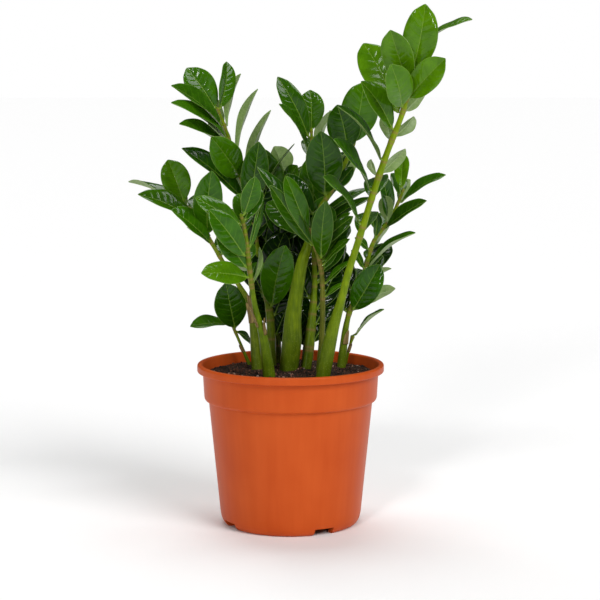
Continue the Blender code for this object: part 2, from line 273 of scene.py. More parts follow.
def stalk_skin():
    """Fleshy leaf stalk with a waxy skin.

    It is dark olive and finely speckled at its swollen foot and yellow-green higher up, with
    fibres along it and a thin brown scar at each leaflet, so it looks moist and satin.
    """
    material, tree, output = new_material("fleshy_waxy_stalk")
    reads = add(tree, "SeparateXYZ", add(tree, "Attribute", attribute_name="stalk").outputs[1])
    height, scar, _ = reads.outputs
    traits = add(tree, "SeparateXYZ", add(tree, "Attribute", attribute_name="traits").outputs[1])
    brown, bright, _ = traits.outputs
    place = add(tree, "TexCoord").outputs["Object"]
    drawn = add(tree, "Mapping", place, Scale=(1.0, 1.0, 0.1))
    fibres = add(tree, "TexNoise", drawn, per_mm(1.4), 3.0).outputs[0]
    clouds = add(tree, "TexNoise", place, per_mm(9), 3.0).outputs[0]
    spots = add(tree, "TexVoronoi", place, per_mm(1.8)).outputs[0]
    spots = add(tree, "Math", spots, -3.2, 1.0, operation="MULTIPLY_ADD", use_clamp=True)

    streaks = add(tree, "Math", fibres, 0.5, add(
        tree, "Math", clouds, 0.5, operation="MULTIPLY"), operation="MULTIPLY_ADD")
    body = add(tree, "ValToRGB", streaks, stops=((0.35, "4A6204"), (0.5, "5A7206"),
                                                 (0.65, "70860A")))
    lively = add(tree, "ValToRGB", streaks, stops=((0.35, "6E8806"), (0.65, "8AA212")))
    high_up = add(tree, "Math", height, 1.1, 0.1, operation="MULTIPLY_ADD", use_clamp=True)
    lit = add(tree, "Math", high_up, bright, operation="MULTIPLY")
    body = add(tree, "Mix", lit, body, lively, data_type="RGBA")
    bronze = add(tree, "ValToRGB", fibres, stops=((0.35, "4A4314"), (0.65, "756A30")))
    body = add(tree, "Mix", brown, body, bronze, data_type="RGBA")
    foot = add(tree, "Math", height, -3.2, 1.0, operation="MULTIPLY_ADD", use_clamp=True)
    shade = add(tree, "Math", foot, 0.5, operation="MULTIPLY")
    body = add(tree, "Mix", shade, body, "43520F", data_type="RGBA")
    speckle = add(tree, "Math", spots, shade, operation="MULTIPLY")
    body = add(tree, "Mix", speckle, body, "A4AE5A", data_type="RGBA")
    scarred = add(tree, "Math", scar, 0.6, operation="MULTIPLY")
    body = add(tree, "Mix", scarred, body, "8E6C46", data_type="RGBA")

    # Fibres stand up to 0.25 mm proud of the skin between them.
    normal = add(tree, "Bump", Strength=1.0, Distance=0.25 * MM, Height=streaks)
    roughness = add(tree, "Math", clouds, 0.2, 0.26, operation="MULTIPLY_ADD")
    skin_shader = add(tree, "BsdfPrincipled", Base_Color=body, Roughness=roughness, IOR=1.45,
                      Specular_IOR_Level=0.14, Normal=normal)
    tree.links.new(skin_shader.outputs[0], output.inputs[0])
    return material


def papery_bract():
    """Dry papery bract: dull straw brown, split into fibres that run along it."""
    material, tree, output = new_material("dry_papery_bract")
    place = add(tree, "TexCoord").outputs["Object"]
    drawn = add(tree, "Mapping", place, Scale=(1.0, 1.0, 0.08))
    fibres = add(tree, "TexNoise", drawn, per_mm(1.1), 3.0, 0.6).outputs[0]
    colour = add(tree, "ValToRGB", fibres, stops=((0.3, "4A3A1C"), (0.5, "7A6534"),
                                                  (0.7, "A08C52")))
    normal = add(tree, "Bump", Strength=1.0, Distance=0.3 * MM, Height=fibres)
    shader = add(tree, "BsdfPrincipled", Base_Color=colour, Roughness=0.7, IOR=1.45,
                 Normal=normal)
    tree.links.new(shader.outputs[0], output.inputs[0])
    return material


def moulded_pot():
    """Polypropylene, injection moulded and coloured right through.

    It is an even terracotta orange with the satin skin of a polished mould, faint vertical
    flow marks and a little dried compost dust on it.
    """
    material, tree, output = new_material("moulded_polypropylene")
    place = add(tree, "TexCoord").outputs["Object"]
    clouds = add(tree, "TexNoise", place, per_mm(50), 2.0).outputs[0]
    drawn = add(tree, "Mapping", place, Scale=(1.0, 1.0, 0.05))
    flow = add(tree, "TexNoise", drawn, per_mm(8), 2.0).outputs[0]
    grain = add(tree, "TexNoise", place, per_mm(0.9), 2.0).outputs[0]
    tint = add(tree, "Math", flow, 0.4, add(
        tree, "Math", clouds, 0.6, operation="MULTIPLY"), operation="MULTIPLY_ADD")
    colour = add(tree, "ValToRGB", tint, stops=((0.35, "BE4C18"), (0.65, "C85620")))
    dust = add(tree, "TexNoise", place, per_mm(3), 6.0, 0.7).outputs[0]
    dust = add(tree, "Math", dust, 9.0, -5.9, operation="MULTIPLY_ADD", use_clamp=True)
    dust = add(tree, "Math", dust, 0.2, operation="MULTIPLY")
    colour = add(tree, "Mix", dust, colour, "B98A66", data_type="RGBA")
    normal = add(tree, "Bump", Strength=1.0, Distance=0.03 * MM, Height=grain)
    roughness = add(tree, "Math", clouds, 0.16, 0.33, operation="MULTIPLY_ADD")
    shader = add(tree, "BsdfPrincipled", Base_Color=colour, Roughness=roughness, IOR=1.49,
                 Specular_IOR_Level=0.12, Normal=normal)
    tree.links.new(shader.outputs[0], output.inputs[0])
    return material


def damp_compost():
    """Peat compost, damp: near black and matt, with brown crumbs a millimetre or two across."""
    material, tree, output = new_material("damp_peat_compost")
    place = add(tree, "TexCoord").outputs["Object"]
    crumbs = add(tree, "TexNoise", place, per_mm(1.6), 4.0, 0.7).outputs[0]
    colour = add(tree, "ValToRGB", crumbs, stops=((0.35, "0E0703"), (0.5, "26140A"),
                                                  (0.66, "5C3822")))
    normal = add(tree, "Bump", Strength=1.0, Distance=0.8 * MM, Height=crumbs)
    shader = add(tree, "BsdfPrincipled", Base_Color=colour, Roughness=0.85, IOR=1.4,
                 Normal=normal)
    tree.links.new(shader.outputs[0], output.inputs[0])
    return material


def bark_crumbs():
    """Loose crumbs of peat, composted bark and a few of pumice: matt, each its own shade."""
    material, tree, output = new_material("bark_and_pumice_crumbs")
    kind, shade, _ = add(tree, "SeparateXYZ", add(
        tree, "Attribute", attribute_name="crumb").outputs[1]).outputs
    place = add(tree, "TexCoord").outputs["Object"]
    grain = add(tree, "TexNoise", place, per_mm(0.8), 3.0, 0.6).outputs[0]
    hue = add(tree, "ValToRGB", kind, stops=((0.0, "1C0F07"), (0.4, "402312"),
                                             (0.7, "744630"), (0.88, "A87660"),
                                             (0.98, "C8B0A0")))
    dark = add(tree, "Math", shade, 0.5, grain, operation="MULTIPLY_ADD")
    dark = add(tree, "Math", dark, 0.25, operation="SUBTRACT", use_clamp=True)
    colour = add(tree, "Mix", dark, hue, "0E0907", data_type="RGBA")
    normal = add(tree, "Bump", Strength=1.0, Distance=0.4 * MM, Height=grain)
    shader = add(tree, "BsdfPrincipled", Base_Color=colour, Roughness=0.8, IOR=1.4,
                 Normal=normal)
    tree.links.new(shader.outputs[0], output.inputs[0])
    return material


def floor_paint():
    """Matt white studio board: plain, so that nothing competes with the plant."""
    material, tree, output = new_material("matt_white_board")
    shader = add(tree, "BsdfPrincipled", Base_Color="FEFEFE", Roughness=0.9)
    tree.links.new(shader.outputs[0], output.inputs[0])
    return material


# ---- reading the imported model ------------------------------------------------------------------
def layers_of(node_name, sides, near=None):
    """A CAD loft's rings in order, from the pole nearest some points, or else the lower pole."""
    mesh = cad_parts[node_name].data
    raw = np.array([v.co[:] for v in mesh.vertices])
    welded = np.round(raw / (0.01 * MM)).astype(np.int64)
    _, first, index = np.unique(welded, axis=0, return_index=True, return_inverse=True)
    index = index.reshape(-1)
    points = raw[first]
    joined = [set() for _ in points]
    for edge in mesh.edges:
        a, b = (index[v] for v in edge.vertices)
        if a != b:
            joined[a].add(b)
            joined[b].add(a)
    spread = points - points.mean(0)
    lengthwise = spread @ np.linalg.svd(spread, full_matrices=False)[2][0]
    poles = sorted((i for i in range(len(points)) if len(joined[i]) == sides),
                   key=lambda i: lengthwise[i])
    poles = [poles[0], poles[-1]]
    if near is None:
        poles.sort(key=lambda i: points[i][2])
    else:
        poles.sort(key=lambda i: np.linalg.norm(near - points[i], axis=1).min())
    layers = [[poles[0]]]
    seen = {poles[0]}
    while True:
        ahead = sorted({q for p in layers[-1] for q in joined[p]} - seen)
        if not ahead:
            return [points[layer] for layer in layers]
        seen.update(ahead)
        layers.append(ahead)


def read_stem(letter):
    """A stalk's fine centre line and radius, from below the soil up to its top."""
    rows = []
    for ring in layers_of("stem_" + letter, 8)[1:-1]:
        middle = ring.mean(0)
        rows.append((*middle, np.linalg.norm(ring - middle, axis=1).mean()))
    return smooth_curve(rows, 6)


def read_leaf(node_name, stem):
    """A CAD leaflet's start, its tip, the way its upper face looks, and its width."""
    layers = layers_of(node_name, 4, stem[:, :3])
    start, tip = layers[0][0], layers[-1][0]
    face = np.zeros(3)
    width = 0.0
    for ring in layers[2:-2]:
        gaps = np.linalg.norm(ring[:, None] - ring[None], axis=2)
        a, b = np.unravel_index(gaps.argmax(), gaps.shape)
        middle = [i for i in range(len(ring)) if i not in (a, b)]
        face += (ring[a] + ring[b]) / 2 - ring[middle].mean(0)
        width = max(width, gaps[a, b])
    along = unit(tip - start)
    return start, tip, unit(face - along * (face @ along)), width


# ---- leaflets ----------------------------------------------------------------------------------
LEAF_COLUMNS = np.array((0, 0.05, 0.13, 0.26, 0.42, 0.6, 0.8, 0.94, 1.0))
LEAF_ROWS = 42
STALK_RADIUS = 1.1
BLADE_THICKNESS = 0.6
ARCH = 0.06
STALK_SHARE = 0.06         # the leaflet's own stalk, as a share of the blade's length
PROFILE_PEAK = 0.3642      # about the greatest value of the outline below, before scaling
STALK_GAP = 1.2            # from the stem's skin to the start of a small leaflet
ROOT_SHARE = 0.35          # how far out from the stem's middle a leaflet is rooted


def leaflet(start, tip, face, width, root, traits, seed, fold=0.0):
    """Points, faces and painted reads of one leaflet.

    Its stalk runs from root, inside the stem, to start; traits are its tone and its youth,
    and fold is how much further than usual its halves rise along the midrib.
    """
    chance = np.random.default_rng(seed)
    cup = chance.uniform(0.14, 0.28) + fold
    twist = chance.uniform(-0.22, 0.22)
    bend = chance.uniform(-0.025, 0.025)
    droop = chance.uniform(0.0, 0.022)
    wave_start = chance.uniform(0, 1)
    length = np.linalg.norm(tip - start)
    forward = (tip - start) / length
    up0 = unit(face - forward * (face @ forward))
    right0 = np.cross(forward, up0)

    stalk = np.linspace(-STALK_SHARE, 0.0, 4)[:-1]
    t = np.concatenate((stalk, 0.988 * np.linspace(0, 1, LEAF_ROWS) ** 1.04))[:, None]
    s = np.clip(t, 0, 1)
    u = np.concatenate((-LEAF_COLUMNS[:0:-1], LEAF_COLUMNS))[None, :]

    middle = start + forward * length * s[..., None] * np.ones((1, 1, 3))
    middle = middle + up0 * (ARCH * length * np.sin(np.pi * s))[..., None]
    middle = middle + right0 * (bend * length * np.sin(np.pi * s))[..., None]
    middle = middle - up0 * (droop * length * ease(0.7, 1, s))[..., None]
    inside = np.clip(-t / STALK_SHARE, 0, 1)[..., None]
    middle = middle + (root - start) * inside

    turn = twist * (s - 0.15)
    right = right0 * np.cos(turn)[..., None] + up0 * np.sin(turn)[..., None]
    tilt = up0 - forward * (ARCH * np.pi * np.cos(np.pi * s))[..., None]
    normal = tilt / np.linalg.norm(tilt, axis=2, keepdims=True)
    normal = normal * np.cos(turn)[..., None] - right0 * np.sin(turn)[..., None]

    profile = s**0.8 * (1 - s) ** 0.66 / PROFILE_PEAK * (1 - 0.3 * ease(0.88, 1.0, s))
    half = np.maximum(width / 2 * profile, STALK_RADIUS * MM * (1 - ease(0.1, 0.9, s)))
    half_mm = half / MM
    flat = ease(0.015, 0.09, t)
    u_abs = np.abs(u)

    turns = LATERAL_VEINS * (s - VEIN_SWEEP * u_abs**VEIN_CURVE) + 0.5 * (u < 0)
    quilt = 0.5 - 0.5 * np.cos(2 * np.pi * turns)
    quilt = quilt * u_abs**0.5 * (1 - u_abs**3) * ease(0.08, 0.2, s) * (1 - ease(0.85, 1, s))
    quilt = quilt * 0.6 * min(1.0, width / (26 * MM))
    bowl = cup * half_mm * (u_abs**1.3 - 0.3 * u_abs**4) * flat
    wave = 0.07 * half_mm * np.sin(2 * np.pi * (1.6 * s + wave_start) + 2 * u) * u_abs**2 * flat
    groove = -0.5 * np.exp(-((u * half_mm / 0.9) ** 2)) * (1 - 0.6 * s) * flat
    keel = -0.8 * np.exp(-((u * half_mm / 1.0) ** 2)) * (1 - 0.75 * s) * flat
    edge = 1 - 0.6 * ease(0.8, 1.0, u_abs)
    round_stalk = np.sqrt(1 - u_abs**2) * STALK_RADIUS * (1 - flat)
    upper = bowl + wave + quilt + groove + BLADE_THICKNESS / 2 * edge * flat + round_stalk
    lower = bowl + wave + quilt * 0.6 + keel - BLADE_THICKNESS / 2 * edge * flat - round_stalk

    spread = middle + right * (half * u)[..., None]
    faces_up = spread + normal * (upper * MM)[..., None]
    faces_down = spread + normal * (lower * MM)[..., None]
    rings = np.concatenate((faces_up, faces_down[:, ::-1]), axis=1)
    end = start + forward * length - up0 * droop * length
    points, faces = skin(rings, rings[0].mean(0), end)

    columns = u.size
    reads_u = np.concatenate((u[0], u[0][::-1]))
    side = np.concatenate((np.ones(columns), np.zeros(columns)))
    blade = np.stack(np.broadcast_arrays(reads_u[None], np.clip(t, 0, 1), side[None]), axis=2)
    local = np.stack(np.broadcast_arrays(traits[0], traits[1], half_mm + 0 * side[None]), axis=2)
    poles = np.array(((0, 0, 1), (0, 1, 1)))
    blade = np.vstack((blade.reshape(-1, 3), poles))
    local = np.vstack((local.reshape(-1, 3), ((*traits, 1.0), (*traits, 1.0))))
    return points, faces, {"blade": blade, "traits": local}


def nearest_on(stem, point):
    """The row of a stalk's curve nearest a point."""
    return stem[np.linalg.norm(stem[:, :3] - point, axis=1).argmin()]


# ---- stalks ------------------------------------------------------------------------------------
STEM_SIDES = 28
# How bronze and how bright each stalk is.
STEM_TRAITS = {"a": (0.0, 0.95), "b": (0.05, 0.45), "c": (0.0, 0.6), "d": (0.1, 0.6),
               "e": (0.2, 0.3), "f": (0.0, 0.0), "h": (0.6, 0.2), "j": (0.05, 0.6),
               "k": (0.0, 0.4), "l": (0.1, 0.4), "m": (0.2, 0.3)}


def stalk(letter, stem, joints):
    """A stalk with a swelling and a scar where each leaflet joins, and soft ribs along it."""
    steps = np.linalg.norm(np.diff(stem[:, :3], axis=0), axis=1)
    reach = np.concatenate(([0.0], np.cumsum(steps)))
    stations = np.arange(0, reach[-1], 1.6 * MM)
    rows = np.stack([np.interp(stations, reach, stem[:, i]) for i in range(4)], axis=1)
    at = [stations[np.linalg.norm(rows[:, :3] - joint, axis=1).argmin()] for joint in joints]
    swell = np.zeros(len(rows))
    scar = np.zeros(len(rows))
    for joint in at:
        swell = np.maximum(swell, np.exp(-((stations - joint) / (3.0 * MM)) ** 2))
        scar = np.maximum(scar, np.exp(-((stations - joint + 1.5 * MM) / (1.1 * MM)) ** 2))
    turn = np.linspace(0, 2 * np.pi, STEM_SIDES, endpoint=False)
    heading = np.gradient(rows[:, :3], axis=0)
    phase = ord(letter)
    rings = []
    for row, ahead, more in zip(rows, heading, swell):
        ahead = unit(ahead)
        side = unit(np.cross((0.0, 1.0, 0.0), ahead))
        other = np.cross(ahead, side)
        ribs = 1 + 0.018 * np.sin(5 * turn + phase) + 0.012 * np.sin(9 * turn + 2 * phase)
        lump = np.array([noise.noise(Vector((math.cos(a), math.sin(a), row[2] * 25 + phase)))
                         for a in turn])
        radius = row[3] * (ribs + 0.03 * lump) + 0.35 * MM * more
        rings.append(row[:3] + radius[:, None] * (
            np.cos(turn)[:, None] * side + np.sin(turn)[:, None] * other))
    top = rows[-1, :3] + unit(heading[-1]) * rows[-1, 3]
    points, faces = skin(rings, rows[0, :3], top)
    soil_level = SOIL_EDGE * MM
    height = np.clip((rows[:, 2] - soil_level) / (rows[-1, 2] - soil_level), 0, 1)
    reads = np.stack((height, scar, stations), axis=1)
    reads = np.repeat(reads, STEM_SIDES, axis=0)
    reads = np.vstack((reads, (0, 0, 0), (1, 0, 0)))
    traits = np.tile((*STEM_TRAITS[letter], 0.0), (len(points), 1))
    return points, faces, {"stalk": reads, "traits": traits}


# ---- pot and soil ------------------------------------------------------------------------------
_, pot_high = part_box("pot")
RIM_RADIUS = pot_high[0] / MM
POT_HEIGHT = pot_high[2] / MM
POT_SIDES = 192
NOTCH_ANGLES = (29, 119, 209, 299)    # degrees from the front towards +X
NOTCH_WIDTH = 19.0
NOTCH_HEIGHT = 6.5
NOTCH_INNER_RADIUS = 47.0
# The pot's section from under its floor, up the outside and down the inside: radius, height,
# and how far before and after each corner its rounding starts.
POT_SECTION = (
    (53.4, 4.0, 0.3, 0.3), (54.0, 0.0, 0.6, 0.6), (63.4, 0.0, 6.4, 12.0),
    (74.7, POT_HEIGHT - 33.4, 0.6, 0.6), (78.6, POT_HEIGHT - 32.6, 2.2, 3.4),
    (80.0, POT_HEIGHT - 7.2, 0.5, 0.5), (RIM_RADIUS, POT_HEIGHT - 7.0, 1.2, 1.5),
    (RIM_RADIUS, POT_HEIGHT, 2.4, 1.9), (RIM_RADIUS - 4.7, POT_HEIGHT, 1.6, 1.8),
    (78.2, POT_HEIGHT - 8.5, 1.5, 1.5), (76.6, POT_HEIGHT - 29.0, 1.0, 1.5),
    (72.6, POT_HEIGHT - 33.6, 1.5, 1.0), (61.6, 6.0, 9.0, 6.0),
)
SOIL_EDGE = 138.0
SOIL_MIDDLE = 139.5
SOIL_RADIUS = 77.0
CRUMBS = 1900
CRUMB_REACH = 75.5
CRUMB_SEED = 11
SOIL_SECTION = ((55.0, 6.4), (60.0, 8.5), (62.2, 14.5), (72.2, 113.2), (76.2, 118.3),
                (77.4, 134.0))


def rounded(section):
    """A section's points with each corner turned into a short curve."""
    corners = np.array([row[:2] for row in section])
    points = [corners[0]]
    for i in range(1, len(corners) - 1):
        at = corners[i]
        before = at + unit(corners[i - 1] - at) * section[i][2]
        after = at + unit(corners[i + 1] - at) * section[i][3]
        for t in np.linspace(0, 1, 8):
            points.append((1 - t)**2 * before + 2 * t * (1 - t) * at + t**2 * after)
    points.append(corners[-1])
    return np.array(points)


def turned(section, sides):
    """Rings of a section of (radius, height) rows turned about Z, in metres."""
    turn = np.linspace(0, 2 * np.pi, sides, endpoint=False)
    return np.array([np.stack((r * np.cos(turn), r * np.sin(turn), np.full(sides, z)), axis=1)
                     for r, z in np.asarray(section) * MM])


def make_pot(material):
    """Rolled rim, collar, tapering body and rounded foot, with four drainage notches."""
    section = rounded((*POT_SECTION, (0.0, 6.0, 0, 0)))[:-1]
    points, faces = skin(turned(section, POT_SIDES), (0, 0, 4 * MM), (0, 0, 6 * MM))
    pot = add_mesh("moulded_pot", points, faces, material)
    cutters = []
    for angle in NOTCH_ANGLES:
        out = np.array((math.sin(math.radians(angle)), -math.cos(math.radians(angle)), 0))
        aside = np.array((-out[1], out[0], 0))
        rings = [[(out * r + aside * side * NOTCH_WIDTH / 2 + UP * z) * MM
                  for side, z in ((-1, -3), (1, -3), (1, NOTCH_HEIGHT), (-1, NOTCH_HEIGHT))]
                 for r in (NOTCH_INNER_RADIUS, RIM_RADIUS)]
        points, _ = skin(rings)
        faces = [(0, 1, 5, 4), (1, 2, 6, 5), (2, 3, 7, 6), (3, 0, 4, 7), (3, 2, 1, 0),
                 (4, 5, 6, 7)]
        cutter = add_mesh(f"notch_cutter_{angle}", points, faces, material)
        cutters.append(cutter)
        cut = pot.modifiers.new("notch", "BOOLEAN")
        cut.operation = "DIFFERENCE"
        cut.object = cutter
    whole = pot.evaluated_get(bpy.context.evaluated_depsgraph_get())
    mesh = bpy.data.meshes.new_from_object(whole)
    pot.modifiers.clear()
    pot.data = mesh
    for cutter in cutters:
        bpy.data.objects.remove(cutter)
    mesh.shade_smooth()
    mesh.set_sharp_from_angle(angle=math.radians(40))
    belongs(pot, "pot_plastic", "pot")


def soil_top(x, y):
    """Height in millimetres of the loose compost at a place in millimetres."""
    radius = math.hypot(x, y)
    level = SOIL_MIDDLE + (SOIL_EDGE - SOIL_MIDDLE) * min(radius / SOIL_RADIUS, 1.0)
    heap = 1.5 * noise.noise(Vector((x, y, 0)) / 14) + 1.0 * noise.noise(Vector((x, y, 5)) / 4.5)
    return level + heap * (1 - float(ease(70, SOIL_RADIUS, radius)) * 0.6) - 0.4


def make_soil(material, crumb_material):
    """Compost that fills the pot, with an uneven top, and the loose crumbs on it."""
    sides = 160
    wall = turned(SOIL_SECTION, sides)
    turn = np.linspace(0, 2 * np.pi, sides, endpoint=False)
    top = []
    for radius in np.linspace(77.5, 1.2, 52):
        places = np.stack((radius * np.cos(turn), radius * np.sin(turn)), axis=1)
        top.append([(x * MM, y * MM, soil_top(x, y) * MM) for x, y in places])
    rings = np.concatenate((wall, top))
    points, faces = skin(rings, (0, 0, 6.4 * MM), (0, 0, soil_top(0, 0) * MM))
    belongs(add_mesh("damp_compost", points, faces, material), "potting_soil", "soil")

    shapes = []
    for cuts in (1, 2):
        ball = bmesh.new()
        bmesh.ops.create_icosphere(ball, subdivisions=cuts, radius=1.0)
        shapes.append((np.array([v.co[:] for v in ball.verts]),
                       [tuple(v.index for v in f.verts) for f in ball.faces]))
        ball.free()
    chance = np.random.default_rng(CRUMB_SEED)
    parts = []
    for _ in range(CRUMBS):
        radius = CRUMB_REACH * math.sqrt(chance.uniform(0, 1))
        angle = chance.uniform(0, 2 * math.pi)
        x, y = radius * math.cos(angle), radius * math.sin(angle)
        size = float(np.clip(chance.lognormal(-0.35, 0.42), 0.35, 2.2))
        base, faces = shapes[int(size > 0.9)]
        stretch = chance.uniform((0.8, 0.6, 0.35), (1.5, 1.0, 0.8))
        rough = 1 + chance.uniform(-0.22, 0.22, len(base))
        spin = np.linalg.qr(chance.normal(size=(3, 3)))[0]
        if np.linalg.det(spin) < 0:
            spin[0] = -spin[0]
        body = (base * rough[:, None] * stretch * size) @ spin
        centre = (x, y, soil_top(x, y) + 0.35 * size)
        kind = chance.uniform(0, 1)
        painted = np.tile((kind, chance.uniform(0, 1), 0), (len(base), 1))
        parts.append(((body + centre) * MM, faces, {"crumb": painted}))
    crumbs = add_joined("bark_and_pumice_crumbs", parts, crumb_material)
    belongs(crumbs, "potting_soil")


# ---- bracts ------------------------------------------------------------------------------------
# Dry bracts: stalk, height of the foot, length, which way it faces (degrees), spread, flare.
BRACTS = (
    ("e", 180, 20, 250, 48, 2.0), ("f", 186, 20, 200, 50, 2.0), ("f", 178, 16, 330, 36, 3.0),
    ("e", 190, 16, 290, 40, 3.0), ("j", 160, 14, 300, 45, 1.4), ("k", 150, 9, 280, 60, 1.6),
    ("d", 148, 18, 90, 60, 1.2), ("c", 146, 16, 80, 60, 1.2), ("m", 148, 22, 90, 60, 1.6),
    ("b", 142, 16, 90, 50, 1.0), ("l", 150, 8, 250, 60, 1.2),
)


def bract(stem, foot, length, facing, spread, flare):
    """Points and faces of a papery bract that hugs a stalk and springs away at its tip."""
    rows = []
    first = int(np.abs(stem[:, 2] / MM - foot).argmin())
    reach = np.concatenate(([0], np.cumsum(np.linalg.norm(np.diff(stem[first:, :3], axis=0),
                                                          axis=1)))) / MM
    stations = np.linspace(0, 1, 16)[:-1]
    columns = np.linspace(-1, 1, 11)
    for v in stations:
        at = np.array([np.interp(v * length, reach, stem[first:, i]) for i in range(4)])
        ahead = np.array([np.interp(v * length + 1, reach, stem[first:, i]) for i in range(3)])
        ahead = unit(ahead - at[:3] + 1e-9)
        side = unit(np.cross((0.0, 1.0, 0.0), ahead))
        other = np.cross(ahead, side)
        half = math.radians(spread) * (1 - v**1.6) ** 0.8 + 0.04
        turn = math.radians(facing) + columns * half
        outwards = np.cos(turn)[:, None] * side + np.sin(turn)[:, None] * other
        edge = 0.5 * np.abs(columns) ** 3 * (0.3 + v)
        gap = at[3] * 1.05 + (0.45 + flare * v**2.5 + edge * flare * 0.4) * MM
        outer = at[:3] + outwards * gap[:, None]
        inner = at[:3] + outwards * (gap - 0.3 * MM)[:, None]
        rows.append(np.vstack((outer, inner[::-1])))
    return skin(rows, rows[0].mean(0), rows[-1].mean(0) + (rows[-1] - rows[-2]).mean(0))


# ---- the plant ---------------------------------------------------------------------------------
FACES = {"U": (0, 0, 1), "D": (0, 0, -1), "F": (0, -1, 0), "B": (0, 1, 0), "L": (-1, 0, 0),
         "R": (1, 0, 0)}
# Leaflets between the CAD ones, by stalk: height where they join, tip, the way the upper face
# looks, and width. FACES gives what each letter adds to that way.
SMALL_LEAFLETS = {
    "a": ((376, (118, -45, 393), "BBU", 14), (354, (109, -25, 371), "BBR", 15),
          (322, (102, -22, 342), "BBR", 13), (319, (71, -25, 333), "BBL", 9),
          (350, (84, -34, 375), "BBL", 14),
          (300, (80, -2, 318), "UUB", 22), (268, (74, 0, 286), "UUB", 20)),
    "b": ((304, (57, 12, 325), "FFU", 12), (340, (36, 45, 375), "BBU", 16),
          (318, (52, 56, 338), "UUB", 24), (290, (38, 50, 312), "UUB", 24),
          (262, (10, 44, 286), "UBB", 22)),
    "c": ((276, (17, 18, 334), "FU", 26), (251, (30, 8, 298), "FFU", 23),
          (273, (74, 50, 304), "UUF", 14), (261, (74, 42, 296), "FUU", 17),
          (236, (54, 22, 283), "FUU", 20), (224, (50, 30, 252), "FU", 16),
          (330, (20, 88, 350), "UUB", 20), (300, (14, 86, 322), "UUB", 22),
          (262, (32, 82, 282), "UUB", 22)),
    "d": ((285, (-29, 34, 347), "FFF", 25), (272, (3, 52, 345), "UL", 15),
          (322, (-66, 92, 338), "UUB", 20), (286, (-50, 92, 306), "UUB", 22),
          (255, (-28, 90, 276), "UUB", 22)),
    "e": ((259, (-72, 20, 321), "FFF", 27), (278, (-84, 98, 296), "UUB", 20),
          (256, (-96, 86, 262), "UUB", 20), (240, (-60, 86, 256), "UUB", 20)),
    "f": ((277, (-82, -62, 302), "FFU", 17), (238, (-64, -52, 272), "FFR", 20),
          (258, (-24, -38, 306), "RRF", 11), (255, (-28, -45, 290), "RF", 9),
          (223, (-27, -22, 255), "RBU", 10), (270, (-44, -12, 292), "UUB", 18),
          (244, (-46, -8, 262), "UUB", 20), (226, (-30, -4, 240), "UUB", 18)),
    "h": ((220, (55, -10, 242), "UUF", 11), (237, (53, -14, 262), "UUF", 11),
          (253, (56, -12, 282), "UFF", 14), (208, (49, -6, 221), "UUF", 8),
          (255, (-18, -30, 311), "FFU", 15), (262, (14, 24, 282), "UUB", 16),
          (232, (40, 26, 250), "UUB", 16)),
    "j": ((272, (87, 22, 298), "BU", 14), (256, (79, 36, 282), "FR", 11),
          (247, (59, 30, 259), "FU", 11), (230, (56, 24, 248), "FU", 11),
          (216, (86, 45, 241), "FF", 14), (215, (94, 55, 228), "BU", 12),
          (196, (98, 55, 209), "BBU", 17), (296, (98, 78, 316), "UUB", 16),
          (262, (78, 76, 280), "UUB", 18), (236, (84, 72, 250), "UUB", 18),
          (208, (62, 74, 226), "UUB", 18)),
    "l": ((169, (-38, 66, 156), "FU", 10), (174, (-58, 80, 184), "UUB", 13)),
    "m": ((279, (-31, 52, 342), "FFU", 26), (258, (-27, 50, 288), "FU", 20),
          (253, (9, 60, 271), "FU", 18), (229, (-21, 55, 250), "FFU", 18),
          (300, (6, 60, 324), "FU", 18), (305, (-26, 98, 330), "UBL", 20),
          (288, (16, 102, 310), "UBR", 20), (270, (-34, 100, 292), "UUB", 22),
          (262, (12, 106, 284), "UUB", 22), (240, (-30, 106, 258), "UUB", 22),
          (215, (6, 106, 232), "UUB", 20), (206, (-34, 102, 222), "UUB", 20)),
}
# Leaflets low in the middle and at the back, coloured darker than any other as painted shade, in
# the same way.
SHADE_DARKENED_LEAFLETS = {
    "c": ((200, (-6, 42, 246), "FFU", 24), (190, (44, 44, 230), "FFU", 24),
          (215, (48, 46, 258), "FFU", 24), (235, (50, 48, 280), "FFU", 24),
          (176, (40, 42, 208), "FFU", 20), (160, (38, 46, 192), "FFU", 18),
          (156, (2, 42, 192), "FFU", 20)),
    "d": ((204, (-48, 46, 246), "FFU", 24), (215, (-6, 52, 262), "FFU", 26),
          (182, (-2, 50, 222), "FFU", 24), (164, (0, 54, 200), "FFU", 22),
          (240, (-62, 52, 284), "FFU", 26), (262, (-20, 54, 310), "FFU", 26)),
    "m": ((170, (-34, 70, 214), "FFU", 26), (185, (18, 74, 232), "FFU", 28),
          (202, (-42, 68, 248), "FFU", 26), (216, (26, 74, 264), "FFFU", 28),
          (156, (14, 70, 202), "FFU", 26), (236, (-42, 68, 284), "FFU", 26),
          (252, (26, 78, 300), "FFU", 28), (272, (18, 84, 324), "FFU", 26),
          (190, (-2, 66, 240), "FFU", 26), (226, (-10, 64, 276), "FFU", 26)),
    "j": ((188, (34, 52, 226), "FFU", 22), (206, (40, 56, 248), "FFU", 22),
          (222, (94, 58, 250), "FFU", 18)),
}
